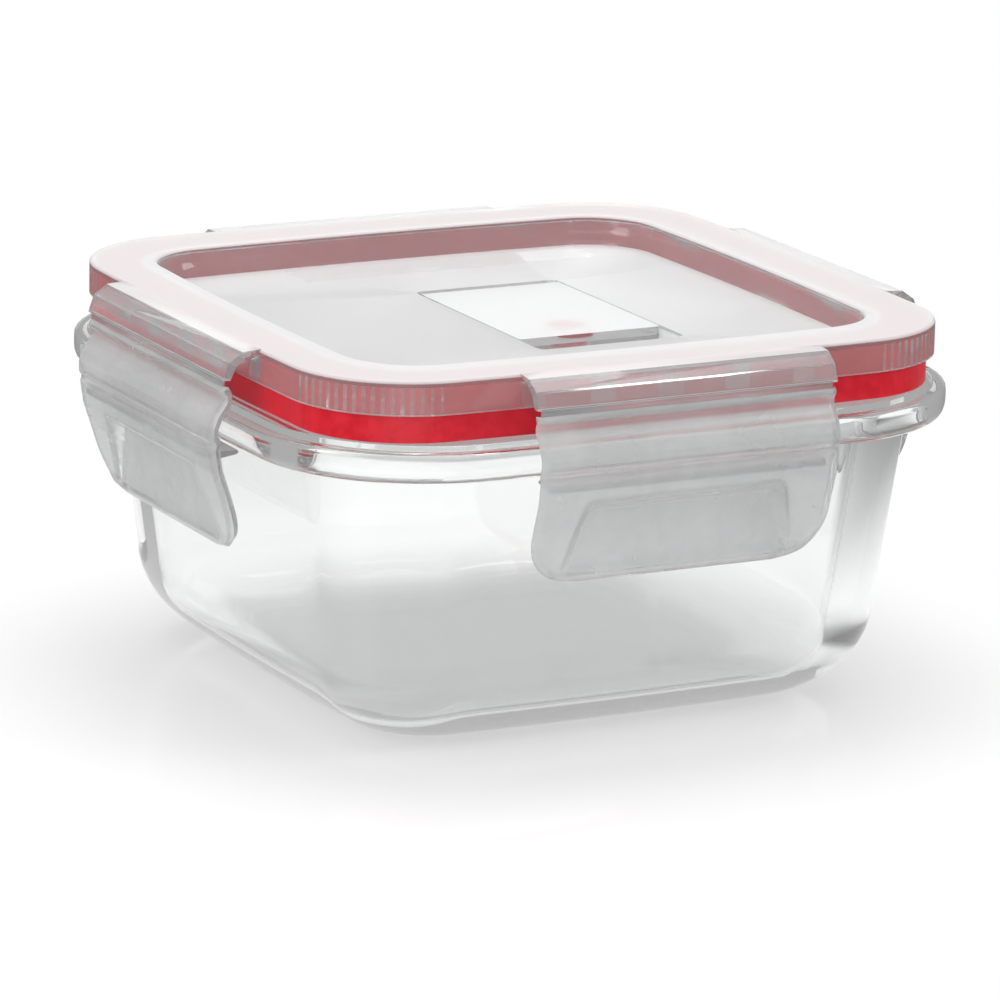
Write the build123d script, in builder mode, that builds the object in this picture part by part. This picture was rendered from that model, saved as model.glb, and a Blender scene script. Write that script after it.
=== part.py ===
"""Square glass food container with a clip-down plastic lid.

The origin is the centre of the underside of the dish. +Z is up and -Y is the front.
All sizes are in millimetres.
"""
from build123d import *
import math
import os

os.makedirs("parts", exist_ok=True)

# Dish
foot_half = 45.0
foot_corner = 9.6
bowl_radius = 22.8
wall_low_half = 67.8
wall_low_corner = 19.0
wall_top_half = 72.3
wall_top_corner = 19.2
side_bow = 1.8
glass_wall = 3.6
rim_low = 66.5
rim_high = 74.8
rim_half = 83.7
rim_corner = 38.5
rim_rounding = 3.4
mouth_half = 69.6
mouth_corner = 19.0

# Lid
lid_half = 78.0
lid_corner = 27.4
lid_top = 89.2
lid_plate = 1.8
lid_edge_rounding = 1.0
skirt_low = 81.4
skirt_wall = 1.7
recess_half = 63.6
recess_corner = 16.4
recess_floor = 81.9
recess_wall = 2.0
recess_rounding = 1.0
channel_low = 77.4

# Sealing ring, which fills the channel between the skirt and the recess wall
ring_inner_half = 67.2
ring_inner_corner = 20.0
ring_low = 75.05
groove_outer_half = 73.4
groove_inner_half = 70.2
groove_corner = 22.0
groove_depth = 4.5

# Side latches. Section points are a distance out from the centre and a height.
latch_length = 74.0
latch_wall = 2.0
latch_low = 42.5
latch_top = 81.3
latch_corner = 11.0
latch_face = [
    (88.1, latch_top),
    (89.3, 77.5),
    (90.9, 70.5),
    (90.4, 64.0),
    (87.4, 55.0),
    (84.6, 46.0),
    (84.0, latch_low),
]
catch_length = 60.0
catch_section = [(89.2, 66.1), (82.6, 66.1), (82.6, 64.9), (84.4, 63.2), (88.8, 61.4)]
land_low = 82.7
land_section = [
    (79.0, 89.1),
    (83.4, 88.8),
    (86.6, 86.6),
    (88.0, land_low),
    (86.2, land_low),
    (84.9, 85.6),
    (82.7, 87.0),
    (79.0, 87.3),
]
web_section = [(87.3, land_low), (87.8, land_low), (87.8, latch_top), (87.3, latch_top)]
web_length = 72.0

# Finger scoop pressed into each latch
scoop_wall = 1.8
scoop_top_half = 22.0
scoop_low_half = 27.0
scoop_top = 60.5
scoop_shell_section = [(88.9, 62.3), (81.6, 61.9), (82.0, latch_low), (83.8, latch_low)]
scoop_hollow_section = [(95.0, 61.2), (83.4, 60.1), (83.7, 41.0), (95.0, 41.0)]

# Steam vent in the recess of the lid
vent_x = 10.5
vent_width = 37.0
vent_far = 31.0
vent_near = -33.0
vent_depth = 5.2
vent_wall = 1.6
vent_corner = 2.0
cover_width = 36.2
cover_near = -22.0
cover_thickness = 2.2
cover_rib_height = 1.4
cover_rib_width = 2.0
pin_y = 28.3
pin_height = 80.4
pin_radius = 0.9
pin_length = 39.2
pin_clearance = 0.06
knuckle_radius = 1.45
vent_hole_y = -10.0
vent_hole_radius = 2.4
plug_radius = 1.8
plug_length = 1.4
pad_radius = 4.5
pad_gap = 0.3

# Directions in which the four sides face, in degrees from +X
SIDES = {"front": -90, "back": 90, "left": 180, "right": 0}


def bowed_square(half, corner, bow=side_bow):
    """Square outline with rounded corners and slightly bowed sides."""
    with BuildSketch() as outline:
        with BuildLine():
            for turn in PolarLocations(0, 4).local_locations:
                start = (turn * Pos(half, -half)).position
                middle = (turn * Pos(half + bow, 0)).position
                end = (turn * Pos(half, half)).position
                ThreePointArc(start, middle, end)
        make_face()
        fillet(outline.vertices(), radius=corner)
    return outline.sketch


def bowl_sections(inset):
    """Heights, half widths and corners of the rounded lower part of the dish, set in by inset."""
    sections = []
    for degrees in (-90, -65, -40, -20, 0):
        angle = math.radians(degrees)
        radius = bowl_radius - inset
        half = foot_half + bowl_radius - inset - radius * (1 - math.cos(angle))
        height = bowl_radius + radius * math.sin(angle)
        corner = foot_corner + (wall_low_corner - foot_corner) * math.cos(angle)
        sections.append((height, half, max(corner - inset * 0.8, 4.0)))
    return sections


def side_planes(angle):
    """Planes for one side: its cross-section (out, up) and its elevation (along, up)."""
    outward = Vector(math.cos(math.radians(angle)), math.sin(math.radians(angle)), 0)
    along = Vector(-outward.Y, outward.X, 0)
    section = Plane(origin=(0, 0, 0), x_dir=outward, z_dir=-along)
    elevation = Plane(origin=(0, 0, 0), x_dir=along, z_dir=outward)
    return section, elevation


def slab(low, high, half, corner):
    """Upright block with the bowed square outline."""
    with BuildPart() as block:
        with BuildSketch(Plane.XY.offset(low)):
            add(bowed_square(half, corner))
        extrude(amount=high - low)
    return block.part


def bowl(inset, wall_high, wall_high_half, wall_high_corner):
    """Rounded lower bowl and the sloping wall above it."""
    with BuildPart() as solid:
        for height, half, corner in bowl_sections(inset):
            with BuildSketch(Plane.XY.offset(height)):
                add(bowed_square(half, corner))
        loft()
        with BuildSketch(Plane.XY.offset(bowl_radius)):
            add(bowed_square(wall_low_half - inset, wall_low_corner - inset * 0.8))
        with BuildSketch(Plane.XY.offset(wall_high)):
            add(bowed_square(wall_high_half, wall_high_corner))
        loft()
    return solid.part


def extruded(plane, points, length):
    """Straight bar with a polygon section, centred on its plane."""
    with BuildPart() as bar:
        with BuildSketch(plane):
            with BuildLine():
                Polyline(*points, close=True)
            make_face()
        extrude(amount=length / 2, both=True)
    return bar.part


def scoop_solid(angle, points, top_half, low_half):
    """Wedge of the finger scoop: its section, cut to a trapezoid seen from the front."""
    section, elevation = side_planes(angle)
    with BuildPart() as wedge:
        add(extruded(section, points, 4 * low_half))
        with BuildSketch(elevation):
            with BuildLine():
                Polyline(
                    (-top_half, scoop_top + scoop_wall),
                    (top_half, scoop_top + scoop_wall),
                    (low_half, latch_low - scoop_wall),
                    (-low_half, latch_low - scoop_wall),
                    close=True,
                )
            make_face()
        extrude(amount=lid_half + latch_length, mode=Mode.INTERSECT)
    return wedge.part


def latch(angle):
    """Curved flap with a catch rib behind and a finger scoop in front."""
    section, elevation = side_planes(angle)
    back = [(out - latch_wall, up) for out, up in latch_face]
    with BuildPart() as flap:
        with BuildSketch(section):
            with BuildLine():
                Spline(*latch_face)
                Spline(*back)
                Line(latch_face[0], back[0])
                Line(latch_face[-1], back[-1])
            make_face()
        extrude(amount=latch_length / 2, both=True)
        add(extruded(section, catch_section, catch_length))
        shell_halves = (scoop_top_half + scoop_wall, scoop_low_half + scoop_wall)
        add(scoop_solid(angle, scoop_shell_section, *shell_halves))
        hollow = scoop_solid(angle, scoop_hollow_section, scoop_top_half, scoop_low_half)
        add(hollow, mode=Mode.SUBTRACT)
        with BuildSketch(elevation) as outline:
            height = latch_top - latch_low
            with Locations((0, latch_low + height / 2)):
                Rectangle(latch_length, height)
            fillet(outline.vertices().sort_by(Axis.Y)[:2], radius=latch_corner)
        extrude(amount=lid_half + latch_length, mode=Mode.INTERSECT)
    return flap.part


# Glass dish
outer_bowl = bowl(0, rim_high - 1, wall_top_half + 0.8, wall_top_corner)
inner_bowl = bowl(glass_wall, rim_high + 1, mouth_half, mouth_corner)
with BuildPart() as dish:
    add(slab(rim_low, rim_high, rim_half, rim_corner))
    fillet(dish.faces().sort_by(Axis.Z)[-1].edges(), radius=rim_rounding)
    fillet(dish.faces().sort_by(Axis.Z)[0].edges(), radius=rim_rounding)
    add(outer_bowl)
    add(inner_bowl, mode=Mode.SUBTRACT)
dish.part.label = "glass_dish"
export_step(dish.part, "parts/glass_dish.step")

# Lid: top plate with a skirt, a sunken middle, four hinge lands and the vent pocket
plate_low = lid_top - lid_plate
channel_half = recess_half + recess_wall
channel_corner = recess_corner + recess_wall
vent_length = vent_far - vent_near
vent_middle = (vent_far + vent_near) / 2
pocket_floor = recess_floor - vent_depth
with BuildPart() as lid:
    add(slab(skirt_low, lid_top, lid_half, lid_corner))
    fillet(lid.faces().sort_by(Axis.Z)[-1].edges(), radius=lid_edge_rounding)
    add(slab(skirt_low, plate_low, lid_half - skirt_wall, lid_corner - skirt_wall), mode=Mode.SUBTRACT)
    add(slab(channel_low, plate_low, channel_half, channel_corner))
    add(slab(channel_low, recess_floor - lid_plate, recess_half, recess_corner), mode=Mode.SUBTRACT)
    add(slab(recess_floor, lid_top, recess_half, recess_corner), mode=Mode.SUBTRACT)
    recess_edge = lid.faces().sort_by(Axis.Z)[-1].inner_wires()[0].edges()
    fillet(recess_edge, radius=recess_rounding)
    for angle in SIDES.values():
        section, elevation = side_planes(angle)
        add(extruded(section, land_section, latch_length))
    with BuildSketch(Plane.XY.offset(pocket_floor - vent_wall)):
        with Locations((vent_x, vent_middle)):
            outer_size = (vent_width + 2 * vent_wall, vent_length + 2 * vent_wall)
            RectangleRounded(*outer_size, vent_corner + vent_wall)
    extrude(amount=vent_depth)
    with BuildSketch(Plane.XY.offset(pocket_floor)):
        with Locations((vent_x, vent_middle)):
            RectangleRounded(vent_width, vent_length, vent_corner)
    extrude(amount=vent_depth, mode=Mode.SUBTRACT)
    with BuildSketch(Plane.XY.offset(pocket_floor)):
        with Locations((vent_x, vent_hole_y)):
            Circle(vent_hole_radius)
    extrude(amount=-vent_wall, mode=Mode.SUBTRACT)
    with BuildSketch(Plane.YZ.offset(vent_x)):
        with Locations((pin_y, pin_height)):
            Circle(pin_radius + pin_clearance)
    extrude(amount=pin_length / 2 + pin_clearance, both=True, mode=Mode.SUBTRACT)
lid.part.label = "lid"
export_step(lid.part, "parts/lid.step")

# Silicone sealing ring with a groove that leaves two lips on the glass
with BuildPart() as lid_gasket:
    add(slab(ring_low, plate_low, lid_half - skirt_wall, lid_corner - skirt_wall))
    add(slab(ring_low, plate_low, ring_inner_half, ring_inner_corner), mode=Mode.SUBTRACT)
    groove = slab(ring_low, ring_low + groove_depth, groove_outer_half, groove_corner)
    tongue = slab(ring_low, ring_low + groove_depth, groove_inner_half, groove_corner)
    add(groove - tongue, mode=Mode.SUBTRACT)
lid_gasket.part.label = "lid_gasket"
export_step(lid_gasket.part, "parts/lid_gasket.step")

# Latches and the thin webs that hinge them to the lid
for side, angle in SIDES.items():
    flap = latch(angle)
    flap.label = f"{side}_latch"
    export_step(flap, f"parts/{side}_latch.step")
    section, elevation = side_planes(angle)
    web = extruded(section, web_section, web_length)
    web.label = f"{side}_hinge_web"
    export_step(web, f"parts/{side}_hinge_web.step")

# Vent cover, flush with the recess floor, with a knuckle round its pin
with BuildPart() as vent_cover:
    with BuildSketch(Plane.YZ.offset(vent_x)):
        with BuildLine():
            Polyline(
                (cover_near, recess_floor),
                (pin_y, recess_floor),
                (pin_y, recess_floor - cover_thickness),
                (cover_near + cover_rib_width, recess_floor - cover_thickness),
                (cover_near + cover_rib_width, recess_floor - cover_thickness - cover_rib_height),
                (cover_near, recess_floor - cover_thickness - cover_rib_height),
                close=True,
            )
        make_face()
        with Locations((pin_y, pin_height)):
            Circle(knuckle_radius)
            Circle(pin_radius, mode=Mode.SUBTRACT)
    extrude(amount=cover_width / 2, both=True)
    fillet(vent_cover.edges().filter_by(Axis.Z).sort_by(Axis.Y)[:2], radius=vent_corner / 2)
vent_cover.part.label = "vent_cover"
export_step(vent_cover.part, "parts/vent_cover.step")

# Hinge pin of the vent cover
with BuildPart() as vent_pin:
    with BuildSketch(Plane.YZ.offset(vent_x)):
        with Locations((pin_y, pin_height)):
            Circle(pin_radius)
    extrude(amount=pin_length / 2, both=True)
vent_pin.part.label = "vent_pin"
export_step(vent_pin.part, "parts/vent_pin.step")

# Silicone pad under the cover, with a plug that stands in the vent hole
pad_low = pocket_floor + pad_gap
with BuildPart() as vent_seal:
    with BuildSketch(Plane.XY.offset(pad_low)):
        with Locations((vent_x, vent_hole_y)):
            Circle(pad_radius)
    extrude(amount=recess_floor - cover_thickness - pad_low)
    with BuildSketch(Plane.XY.offset(pad_low)):
        with Locations((vent_x, vent_hole_y)):
            Circle(plug_radius)
    extrude(amount=-plug_length)
vent_seal.part.label = "vent_seal"
export_step(vent_seal.part, "parts/vent_seal.step")
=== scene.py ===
"""Looks of the glass storage container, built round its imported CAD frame."""
import bpy
import bmesh
import math
import numpy as np
from mathutils import Matrix, Vector


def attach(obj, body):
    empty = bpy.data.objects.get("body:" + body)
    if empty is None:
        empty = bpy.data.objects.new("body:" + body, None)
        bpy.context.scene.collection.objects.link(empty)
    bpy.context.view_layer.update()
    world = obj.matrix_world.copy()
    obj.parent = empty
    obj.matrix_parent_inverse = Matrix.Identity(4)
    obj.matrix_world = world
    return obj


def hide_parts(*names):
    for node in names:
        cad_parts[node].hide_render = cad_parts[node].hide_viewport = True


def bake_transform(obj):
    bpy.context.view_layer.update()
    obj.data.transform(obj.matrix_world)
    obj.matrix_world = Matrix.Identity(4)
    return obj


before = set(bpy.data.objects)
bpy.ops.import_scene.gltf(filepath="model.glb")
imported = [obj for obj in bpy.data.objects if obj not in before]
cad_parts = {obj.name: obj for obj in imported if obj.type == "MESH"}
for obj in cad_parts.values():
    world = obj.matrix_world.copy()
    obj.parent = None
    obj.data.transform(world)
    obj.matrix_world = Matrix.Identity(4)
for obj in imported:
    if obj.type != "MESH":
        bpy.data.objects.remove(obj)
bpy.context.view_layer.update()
MM = 0.001
SIDES = {"front": -90, "back": 90, "left": 180, "right": 0}
SIDE_BOW = 1.8 * MM


# ---------------------------------------------------------------- materials

def new_material(name):
    """Empty node material with its output and a Principled shader joined to it."""
    material = bpy.data.materials.new(name)
    material.use_nodes = True
    nodes, links = material.node_tree.nodes, material.node_tree.links
    nodes.clear()
    output = nodes.new("ShaderNodeOutputMaterial")
    shader = nodes.new("ShaderNodeBsdfPrincipled")
    links.new(shader.outputs[0], output.inputs[0])
    return material, nodes, links, shader, output


def math_node(nodes, links, operation, first, second=None, clamp=False):
    """Math node whose inputs are sockets or numbers."""
    node = nodes.new("ShaderNodeMath")
    node.operation = operation
    node.use_clamp = clamp
    for socket, value in zip(node.inputs, (first, second)):
        if value is None:
            continue
        if isinstance(value, (int, float)):
            socket.default_value = value
        else:
            links.new(value, socket)
    return node.outputs[0]


def ramp(nodes, links, value, low, high, at_low=0.0, at_high=1.0):
    """Smooth step of a value between two edges."""
    node = nodes.new("ShaderNodeMapRange")
    node.interpolation_type = "SMOOTHSTEP"
    node.inputs["From Min"].default_value = low
    node.inputs["From Max"].default_value = high
    node.inputs["To Min"].default_value = at_low
    node.inputs["To Max"].default_value = at_high
    links.new(value, node.inputs["Value"])
    return node.outputs["Result"]


def grain_bump(nodes, links, shader, scale, strength, distance, bevel=0.0):
    """Fine moulded grain, and rounded edges where bevel is given."""
    noise = nodes.new("ShaderNodeTexNoise")
    noise.inputs["Scale"].default_value = scale
    noise.inputs["Detail"].default_value = 4.0
    coordinates = nodes.new("ShaderNodeTexCoord")
    links.new(coordinates.outputs["Object"], noise.inputs["Vector"])
    bump = nodes.new("ShaderNodeBump")
    bump.inputs["Strength"].default_value = strength
    bump.inputs["Distance"].default_value = distance
    links.new(noise.outputs[0], bump.inputs["Height"])
    if bevel > 0:
        edge = nodes.new("ShaderNodeBevel")
        edge.samples = 6
        edge.inputs["Radius"].default_value = bevel
        links.new(edge.outputs[0], bump.inputs["Normal"])
    links.new(bump.outputs[0], shader.inputs["Normal"])
    return noise.outputs[0]


def glass_material():
    """Clear pressed glass with faint waviness and a faint tint; rays deeper than four bounces end in a painted
    grey glow in place of the light they would carry.
    """
    material, nodes, links, shader, output = new_material("clear_glass")
    shader.inputs["Base Color"].default_value = (0.985, 0.995, 0.992, 1)
    shader.inputs["Transmission Weight"].default_value = 1.0
    shader.inputs["IOR"].default_value = 1.5
    waviness = grain_bump(nodes, links, shader, 22.0, 0.08, 0.0006)
    links.new(ramp(nodes, links, waviness, 0.3, 0.8, 0.0, 0.01), shader.inputs["Roughness"])
    # Painted grey glow: past four bounces a ray ends in flat grey emission instead of tracing on.
    path = nodes.new("ShaderNodeLightPath")
    lost = math_node(nodes, links, "GREATER_THAN", path.outputs["Ray Depth"], 4.5)
    painted_deep_glow = nodes.new("ShaderNodeEmission")
    painted_deep_glow.inputs["Strength"].default_value = 0.42
    mix = nodes.new("ShaderNodeMixShader")
    links.new(lost, mix.inputs[0])
    links.new(shader.outputs[0], mix.inputs[1])
    links.new(painted_deep_glow.outputs[0], mix.inputs[2])
    links.new(mix.outputs[0], output.inputs[0])
    return material


def frosted_material(name):
    """Milky plastic: frosted on its upward faces, glossy and clearer on its walls."""
    material, nodes, links, shader, output = new_material(name)
    geometry = nodes.new("ShaderNodeNewGeometry")
    split_normal = nodes.new("ShaderNodeSeparateXYZ")
    links.new(geometry.outputs["True Normal"], split_normal.inputs[0])
    coordinates = nodes.new("ShaderNodeTexCoord")
    split_place = nodes.new("ShaderNodeSeparateXYZ")
    links.new(coordinates.outputs["Object"], split_place.inputs[0])
    across = math_node(nodes, links, "ABSOLUTE", split_place.outputs["X"])
    along = math_node(nodes, links, "ABSOLUTE", split_place.outputs["Y"])
    out = math_node(nodes, links, "MAXIMUM", across, along)
    inner = ramp(nodes, links, out, 0.0805, 0.0815, 1.0, 0.0)
    rounded = ramp(nodes, links, split_normal.outputs["Z"], 0.1, 0.5)
    level = ramp(nodes, links, split_normal.outputs["Z"], 0.84, 0.93)
    upward = math_node(nodes, links, "MAXIMUM", math_node(nodes, links, "MULTIPLY", rounded, inner), level)
    strip = polished_strip(nodes, links, split_place)
    frost = math_node(nodes, links, "MULTIPLY", upward, strip)
    noise = grain_bump(nodes, links, shader, 900.0, 0.05, 0.0001)
    mottled = ramp(nodes, links, noise, 0.3, 0.7, -0.02, 0.02)
    rough = math_node(nodes, links, "MULTIPLY", frost, 0.38)
    rough = math_node(nodes, links, "ADD", rough, mottled, True)
    rough = math_node(nodes, links, "ADD", rough, 0.1)
    links.new(rough, shader.inputs["Roughness"])
    links.new(ramp(nodes, links, upward, 0, 1, 0.82, 0.38), shader.inputs["Transmission Weight"])
    shader.inputs["Base Color"].default_value = (0.9, 0.905, 0.91, 1)
    shader.inputs["IOR"].default_value = 1.46
    return material


def polished_strip(nodes, links, place):
    """0 in the bare polished strip along the far edge of the recess floor, else 1."""
    left = ramp(nodes, links, place.outputs["X"], -0.0270, -0.0262)
    right = ramp(nodes, links, place.outputs["X"], 0.0495, 0.0503, 1.0, 0.0)
    near = ramp(nodes, links, place.outputs["Y"], 0.0500, 0.0507)
    far = ramp(nodes, links, place.outputs["Y"], 0.0625, 0.0632, 1.0, 0.0)
    inside = math_node(nodes, links, "MULTIPLY", left, right)
    inside = math_node(nodes, links, "MULTIPLY", inside, near)
    inside = math_node(nodes, links, "MULTIPLY", inside, far)
    return math_node(nodes, links, "SUBTRACT", 1.0, inside)


def latch_material():
    """Satin translucent plastic, a little denser in cloudy patches."""
    material, nodes, links, shader, output = new_material("milky_latch_plastic")
    shader.inputs["Base Color"].default_value = (0.955, 0.96, 0.965, 1)
    shader.inputs["IOR"].default_value = 1.47
    noise = grain_bump(nodes, links, shader, 60.0, 0.02, 0.0001)
    links.new(ramp(nodes, links, noise, 0.3, 0.75, 0.2, 0.28), shader.inputs["Roughness"])
    links.new(ramp(nodes, links, noise, 0.3, 0.75, 0.74, 0.66), shader.inputs["Transmission Weight"])
    return material


def silicone_material():
    """Red silicone with a soft sheen, slight dusting and a faint painted red glow in place of light reaching its
    shaded channel.
    """
    material, nodes, links, shader, output = new_material("red_silicone")
    noise = grain_bump(nodes, links, shader, 300.0, 0.08, 0.0002)
    colour = nodes.new("ShaderNodeMix")
    colour.data_type = "RGBA"
    colour.inputs["A"].default_value = (0.56, 0.0, 0.008, 1)
    colour.inputs["B"].default_value = (0.68, 0.006, 0.02, 1)
    links.new(ramp(nodes, links, noise, 0.3, 0.7), colour.inputs["Factor"])
    links.new(colour.outputs["Result"], shader.inputs["Base Color"])
    links.new(ramp(nodes, links, noise, 0.3, 0.7, 0.28, 0.4), shader.inputs["Roughness"])
    # Painted glow: a faint red emission that lightens the silicone where it sits in shade.
    shader.inputs["Emission Color"].default_value = (0.8, 0.03, 0.06, 1)
    shader.inputs["Emission Strength"].default_value = 0.17
    return material


def give(piece, material):
    """Puts one material on a piece."""
    piece.data.materials.clear()
    piece.data.materials.append(material)


# ------------------------------------------------------------------- meshes

def bowed_ring(half, corner, height, corner_steps=14, side_steps=18):
    """Points round a rounded square with slightly bowed sides."""
    corner = min(corner, half * 0.98)
    points = []
    for quarter in range(4):
        start = math.radians(90 * quarter)
        turn = Matrix.Rotation(start, 3, "Z")
        for step in range(corner_steps):
            angle = math.radians(90) * step / corner_steps
            x = half - corner + corner * math.cos(angle)
            y = half - corner + corner * math.sin(angle)
            points.append(turn @ Vector((x, y, height)))
        for step in range(side_steps):
            x = (half - corner) * (1 - 2 * step / side_steps)
            points.append(turn @ Vector((x, half, height)))
    for point in points:
        across = point.xy / half
        bow = SIDE_BOW / half
        point.x, point.y = (
            point.x * (1 + bow * (1 - across.y**2)),
            point.y * (1 + bow * (1 - across.x**2)),
        )
    return points


def rounded_profile(corners, steps=8):
    """Profile of (half, height, corner radius) points, each corner given a rounding."""
    profile = []
    for index, (point, rounding) in enumerate(corners):
        here = Vector(point)
        if rounding == 0 or index in (0, len(corners) - 1):
            profile.append(here)
            continue
        before = (Vector(corners[index - 1][0]) - here)
        after = (Vector(corners[index + 1][0]) - here)
        turn = before.xy.angle(after.xy)
        cut = min(rounding / math.tan(turn / 2), before.xy.length * 0.5, after.xy.length * 0.5)
        start = here + before * (cut / before.xy.length)
        end = here + after * (cut / after.xy.length)
        for step in range(steps + 1):
            t = step / steps
            profile.append(start * (1 - t) ** 2 + here * (2 * t * (1 - t)) + end * t**2)
    return profile


def loft_rings(name, profile, closed=False):
    """Quad mesh through bowed rings. An open profile gets flat caps at its two ends."""
    mesh = bpy.data.meshes.new(name)
    shape = bmesh.new()
    rings = []
    for half, height, corner in profile:
        ring = bowed_ring(half * MM, corner * MM, height * MM)
        rings.append([shape.verts.new(point) for point in ring])
    pairs = list(zip(rings[:-1], rings[1:]))
    if closed:
        pairs.append((rings[-1], rings[0]))
    count = len(rings[0])
    for low, high in pairs:
        for i in range(count):
            j = (i + 1) % count
            shape.faces.new((low[i], low[j], high[j], high[i]))
    if not closed:
        shape.faces.new(rings[0])
        shape.faces.new(rings[-1])
    bmesh.ops.recalc_face_normals(shape, faces=shape.faces)
    shape.to_mesh(mesh)
    shape.free()
    for face in mesh.polygons:
        face.use_smooth = True
    piece = bpy.data.objects.new(name, mesh)
    bpy.context.scene.collection.objects.link(piece)
    return piece


def smooth_copy(node, name, body, material):
    """Piece with a CAD node's own shape, welded and shaded smooth up to its sharp edges."""
    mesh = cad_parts[node].data.copy()
    shape = bmesh.new()
    shape.from_mesh(mesh)
    bmesh.ops.remove_doubles(shape, verts=shape.verts, dist=1e-5)
    shape.to_mesh(mesh)
    shape.free()
    piece = bpy.data.objects.new(name, mesh)
    bpy.context.scene.collection.objects.link(piece)
    mesh.shade_smooth()
    mesh.set_sharp_from_angle(angle=math.radians(28))
    give(piece, material)
    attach(piece, body)
    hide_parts(node)
    return piece


def glass_dish():
    """Pressed dish: rounded bowl, sloping walls and a thick rolled rim with a step."""
    corners = [((36.0, 0.0, 6.0), 0), ((45.0, 0.0, 9.6), 0)]
    low_radius, floor_top, inner_radius = 22.8, 5.5, 13.0
    for degrees in range(-80, 1, 8):
        angle = math.radians(degrees)
        half = 45.0 + low_radius * math.cos(angle)
        height = low_radius + low_radius * math.sin(angle)
        corners.append(((half, height, 9.6 + 9.4 * math.cos(angle)), 0))
    corners += [
        ((72.3, 66.6, 19.2), 1.6),
        ((83.7, 66.8, 38.5), 3.6),
        ((83.7, 73.6, 38.5), 2.2),
        ((80.6, 73.6, 35.4), 0.7),
        ((79.4, 74.8, 34.2), 0.8),
        ((69.6, 74.8, 22.0), 1.5),
        ((63.7, floor_top + inner_radius, 22.5), 0),
    ]
    for degrees in range(-8, -81, -8):
        angle = math.radians(degrees)
        half = 50.7 + inner_radius * math.cos(angle)
        height = floor_top + inner_radius * (1 + math.sin(angle))
        corners.append(((half, height, 11.0 + 11.5 * math.cos(angle)), 0))
    corners += [((50.7, floor_top, 11.0), 0), ((40.0, floor_top, 7.0), 0)]
    return loft_rings("dish_glass", rounded_profile(corners))


def smooth_curve(points, at):
    """Smooth values through (height, out) points at the given heights."""
    heights = np.array([p[0] for p in points])
    outs = np.array([p[1] for p in points])
    fine = np.linspace(heights[0], heights[-1], 800)
    values = np.interp(fine, heights, outs)
    kernel = np.hanning(23)
    kernel /= kernel.sum()
    padded = np.pad(values, 11, mode="reflect", reflect_type="odd")
    return np.interp(at, fine, np.convolve(padded, kernel, mode="valid"))


def smooth_step(value, low, high):
    """0 below low, 1 above high, smooth between."""
    t = np.clip((value - low) / (high - low), 0, 1)
    return t * t * (3 - 2 * t)


FLAP_FACE = [
    (42.5, 84.2), (46.0, 84.6), (55.0, 87.4), (62.0, 89.8), (67.2, 90.6), (68.4, 90.2), (69.4, 90.9),
    (72.0, 90.9), (74.5, 90.0), (76.4, 88.6), (77.8, 87.7), (79.0, 87.7), (79.9, 88.5), (80.7, 88.5), (81.3, 87.7),
]
FLAP_LOW, FLAP_HIGH = 42.5, 81.3
FLAP_HALF, FLAP_CORNER, FLAP_WALL = 37.0, 11.0, 1.7


def flap_mesh(name):
    """Curved latch flap for the front side, with a finger scoop, rolled ends and a bottom lip."""
    rows = np.concatenate([np.linspace(FLAP_LOW, 66, 40), np.linspace(66.4, FLAP_HIGH, 46)])
    across = np.linspace(-1, 1, 121)
    shape = bmesh.new()
    grid = []
    outs = smooth_curve(FLAP_FACE, rows)
    for height, out in zip(rows, outs):
        drop = max(0.0, FLAP_CORNER - (height - FLAP_LOW))
        half = FLAP_HALF - FLAP_CORNER + math.sqrt(max(FLAP_CORNER**2 - drop**2, 0.0))
        along = across * half
        scoop_half = 23.5 + (60.5 - height) * 0.27
        side = 1 - smooth_step(np.abs(along), scoop_half - 0.9, scoop_half + 0.9)
        below = 1 - smooth_step(height, 58.6, 61.6)
        depth = 4.2 * np.clip((height - 43.5) / 17.0, 0, 1) ** 0.8
        roll = 1.1 * smooth_step(np.abs(along), half - 1.8, half + 0.6)
        lip = 0.9 * (1 - smooth_step(height, FLAP_LOW, FLAP_LOW + 1.8))
        out_here = out - side * below * depth - roll - lip
        grid.append([shape.verts.new((a * MM, -o * MM, height * MM)) for a, o in zip(along, out_here)])
    for low, high in zip(grid[:-1], grid[1:]):
        for i in range(len(across) - 1):
            shape.faces.new((low[i], low[i + 1], high[i + 1], high[i]))
    mesh = bpy.data.meshes.new(name)
    shape.to_mesh(mesh)
    shape.free()
    for face in mesh.polygons:
        face.use_smooth = True
    return mesh


def catch_mesh(name):
    """Rib behind the flap that hooks under the rim of the glass."""
    section = [(88.8, 66.1), (82.6, 66.1), (82.6, 65.2), (88.6, 64.3)]
    shape = bmesh.new()
    ends = []
    for along in (-34.0, 34.0):
        ends.append([shape.verts.new((along * MM, -out * MM, up * MM)) for out, up in section])
    count = len(section)
    for i in range(count):
        j = (i + 1) % count
        shape.faces.new((ends[0][i], ends[0][j], ends[1][j], ends[1][i]))
    shape.faces.new(ends[0])
    shape.faces.new(ends[1])
    bmesh.ops.recalc_face_normals(shape, faces=shape.faces)
    bmesh.ops.bevel(shape, geom=shape.edges[:], offset=0.0003, segments=2, affect="EDGES")
    mesh = bpy.data.meshes.new(name)
    shape.to_mesh(mesh)
    shape.free()
    return mesh


def turned(angle):
    """Rotation that takes the front side to the side that faces the given angle."""
    return Matrix.Rotation(math.radians(angle + 90), 4, "Z")


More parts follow.
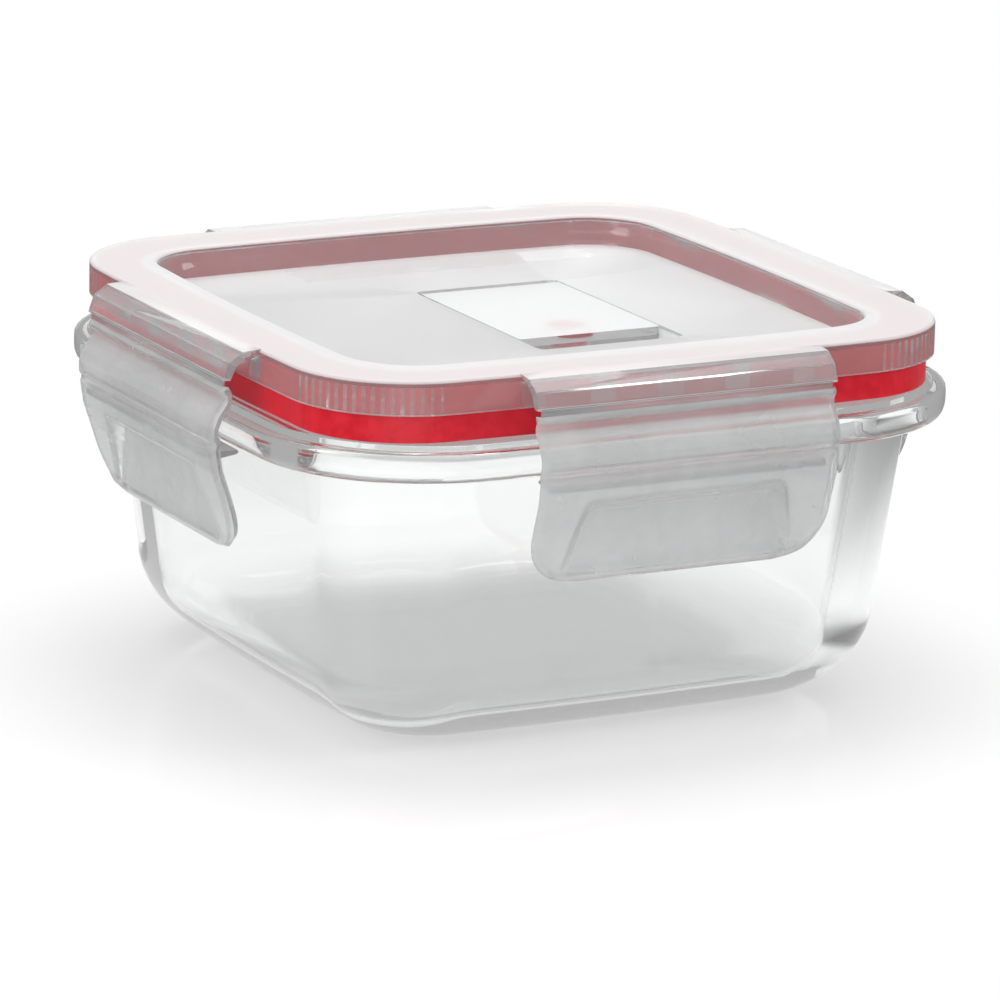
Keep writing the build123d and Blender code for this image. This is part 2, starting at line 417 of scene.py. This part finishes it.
def latch_piece(side, angle, material):
    """Flap of one side, with its thickness and its catch rib."""
    flap = bpy.data.objects.new(f"{side}_flap", flap_mesh(f"{side}_flap"))
    bpy.context.scene.collection.objects.link(flap)
    solidify = flap.modifiers.new("wall", "SOLIDIFY")
    solidify.thickness = FLAP_WALL * MM
    solidify.offset = -1
    solidify.use_even_offset = False
    bevel = flap.modifiers.new("edges", "BEVEL")
    bevel.width = 0.45 * MM
    bevel.segments = 3
    bevel.limit_method = "ANGLE"
    bevel.angle_limit = math.radians(50)
    flap.data.transform(turned(angle))
    give(flap, material)
    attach(flap, f"{side}_latch_body")
    rib = bpy.data.objects.new(f"{side}_catch", catch_mesh(f"{side}_catch"))
    bpy.context.scene.collection.objects.link(rib)
    rib.data.transform(turned(angle))
    give(rib, material)
    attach(rib, f"{side}_latch_body")
    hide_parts(f"{side}_latch")
    return flap


def web_piece(side, angle, material):
    """Living hinge: a thin film, bowed slightly inward, between the lid and the flap."""
    top, low, out, half = 82.75, 81.25, 87.55, 36.0
    rows = np.linspace(low, top, 9)
    shape = bmesh.new()
    grid = []
    for height in rows:
        inward = 0.25 * math.sin(math.pi * (height - low) / (top - low))
        row = [(-half, height), (-half / 3, height), (half / 3, height), (half, height)]
        grid.append([shape.verts.new((a * MM, -(out - inward) * MM, h * MM)) for a, h in row])
    for under, over in zip(grid[:-1], grid[1:]):
        for i in range(3):
            shape.faces.new((under[i], under[i + 1], over[i + 1], over[i]))
    mesh = bpy.data.meshes.new(f"{side}_web")
    shape.to_mesh(mesh)
    shape.free()
    mesh.transform(turned(angle))
    for face in mesh.polygons:
        face.use_smooth = True
    web = bpy.data.objects.new(f"{side}_web", mesh)
    bpy.context.scene.collection.objects.link(web)
    solidify = web.modifiers.new("film", "SOLIDIFY")
    solidify.thickness = 0.45 * MM
    solidify.offset = 0
    give(web, material)
    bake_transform(web)
    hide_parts(f"{side}_hinge_web")
    return web


# ------------------------------------------------------------ object pieces

glass = glass_material()
lid_plastic = frosted_material("frosted_lid_plastic")
latch_plastic = latch_material()
silicone = silicone_material()

dish = glass_dish()
give(dish, glass)
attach(dish, "dish")
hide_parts("glass_dish")

smooth_copy("lid", "lid_shell", "lid_body", lid_plastic)
smooth_copy("lid_gasket", "sealing_ring", "lid_body", silicone)
for node in ("vent_cover", "vent_pin"):
    give(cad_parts[node], lid_plastic)
give(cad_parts["vent_seal"], silicone)
for side, angle in SIDES.items():
    latch_piece(side, angle, latch_plastic)
    web_piece(side, angle, latch_plastic)


# ------------------------------------------------- floor, light and camera

AZIMUTH, ELEVATION, ROLL = math.radians(27.36), math.radians(14.46), math.radians(1.23)
DISTANCE = 1.41926
TARGET = Vector((-0.00036, 0.0, 0.03851))
LENS_WIDTHS = 6.143
SENSOR = 36.0


def view_axes():
    """Right, up and back directions of the camera."""
    back = Vector((
        -math.sin(AZIMUTH) * math.cos(ELEVATION),
        -math.cos(AZIMUTH) * math.cos(ELEVATION),
        math.sin(ELEVATION),
    ))
    right = Vector((math.cos(AZIMUTH), -math.sin(AZIMUTH), 0))
    up = back.cross(right)
    rolled_right = right * math.cos(ROLL) + up * math.sin(ROLL)
    rolled_up = up * math.cos(ROLL) - right * math.sin(ROLL)
    return rolled_right, rolled_up, back


def make_camera():
    """Long lens from the front left, slightly above."""
    right, up, back = view_axes()
    data = bpy.data.cameras.new("camera")
    data.sensor_width = SENSOR
    data.lens = LENS_WIDTHS * SENSOR
    data.clip_end = 20.0
    camera = bpy.data.objects.new("camera", data)
    matrix = Matrix((right, up, back)).transposed().to_4x4()
    matrix.translation = TARGET + back * DISTANCE
    camera.matrix_world = matrix
    bpy.context.scene.collection.objects.link(camera)
    bpy.context.scene.camera = camera


def make_floor():
    """Pale slightly glossy floor that fades to glowing white away from the object; in reflections and through the
    glass it shows painted darker shade outside a lane along the line of sight.
    """
    mesh = bpy.data.meshes.new("floor")
    reach = 6.0
    mesh.from_pydata([(-reach, -reach, 0), (reach, -reach, 0), (reach, reach, 0), (-reach, reach, 0)], [], [(0, 1, 2, 3)])
    floor = bpy.data.objects.new("floor", mesh)
    floor.location.z = -0.0002
    bpy.context.scene.collection.objects.link(floor)
    material, nodes, links, shader, output = new_material("white_floor")
    shader.inputs["Base Color"].default_value = (0.95, 0.95, 0.95, 1)
    shader.inputs["Roughness"].default_value = 0.12
    shader.inputs["Specular IOR Level"].default_value = 0.5
    white = nodes.new("ShaderNodeEmission")
    white.inputs["Color"].default_value = (1, 1, 1, 1)
    white.inputs["Strength"].default_value = 1.0
    place = nodes.new("ShaderNodeTexCoord")
    length = nodes.new("ShaderNodeVectorMath")
    length.operation = "LENGTH"
    links.new(place.outputs["Object"], length.inputs[0])
    far = ramp(nodes, links, length.outputs["Value"], 0.10, 0.30, 0.45, 1.0)
    right, up, back = view_axes()
    sideways = nodes.new("ShaderNodeVectorMath")
    sideways.operation = "DOT_PRODUCT"
    sideways.inputs[1].default_value = Vector((right.x, right.y, 0)).normalized()
    links.new(place.outputs["Object"], sideways.inputs[0])
    aside = math_node(nodes, links, "ABSOLUTE", sideways.outputs["Value"])
    # Painted shade: seen in or through the glass, the glowing floor dims to 0.22 outside a lane along the line of
    # sight.
    lane_with_painted_shade = ramp(nodes, links, aside, 0.105, 0.17, 1.0, 0.22)
    path = nodes.new("ShaderNodeLightPath")
    glow = math_node(nodes, links, "MAXIMUM", lane_with_painted_shade, path.outputs["Is Camera Ray"])
    links.new(glow, white.inputs["Strength"])
    mix = nodes.new("ShaderNodeMixShader")
    links.new(far, mix.inputs[0])
    links.new(shader.outputs[0], mix.inputs[1])
    links.new(white.outputs[0], mix.inputs[2])
    links.new(mix.outputs[0], output.inputs[0])
    give(floor, material)


def area_light(name, place, aim, size, power, shape="RECTANGLE", size_y=None):
    """Soft box that points at a place."""
    data = bpy.data.lights.new(name, "AREA")
    data.shape = shape
    data.size = size
    data.size_y = size_y or size
    data.energy = power
    light = bpy.data.objects.new(name, data)
    light.location = place
    light.rotation_euler = (Vector(aim) - Vector(place)).to_track_quat("-Z", "Y").to_euler()
    light.visible_camera = False
    bpy.context.scene.collection.objects.link(light)


def make_world():
    """White to the camera. Seen through or in the glass it darkens away from the line of sight."""
    world = bpy.data.worlds.new("studio")
    bpy.context.scene.world = world
    world.use_nodes = True
    nodes, links = world.node_tree.nodes, world.node_tree.links
    nodes.clear()
    output = nodes.new("ShaderNodeOutputWorld")
    background = nodes.new("ShaderNodeBackground")
    links.new(background.outputs[0], output.inputs[0])
    right, up, back = view_axes()
    coordinates = nodes.new("ShaderNodeTexCoord")
    along = nodes.new("ShaderNodeVectorMath")
    along.operation = "DOT_PRODUCT"
    along.inputs[1].default_value = -back
    links.new(coordinates.outputs["Generated"], along.inputs[0])
    through = ramp(nodes, links, along.outputs["Value"], 0.86, 0.975, 0.24, 1.0)
    path = nodes.new("ShaderNodeLightPath")
    seen = math_node(nodes, links, "MAXIMUM", path.outputs["Is Glossy Ray"], path.outputs["Is Transmission Ray"])
    ambient = 0.75
    gap = math_node(nodes, links, "SUBTRACT", through, ambient)
    gap = math_node(nodes, links, "MULTIPLY", gap, seen)
    strength = math_node(nodes, links, "ADD", gap, ambient)
    strength = math_node(nodes, links, "MAXIMUM", strength, path.outputs["Is Camera Ray"])
    links.new(strength, background.inputs["Strength"])
    background.inputs["Color"].default_value = (1, 1, 1, 1)


make_camera()
make_floor()
make_world()
area_light("top_box", (0.1, 0.25, 1.1), (0, 0, 0.05), 1.0, 9.0)
area_light("left_box", (-1.1, -0.2, 0.6), (0, 0, 0.05), 0.6, 4.0)
area_light("right_box", (0.9, -0.7, 0.7), (0, 0, 0.05), 0.4, 3.0)

scene = bpy.context.scene
scene.cycles.max_bounces = 24
scene.cycles.transmission_bounces = 24
scene.view_settings.view_transform = "Standard"
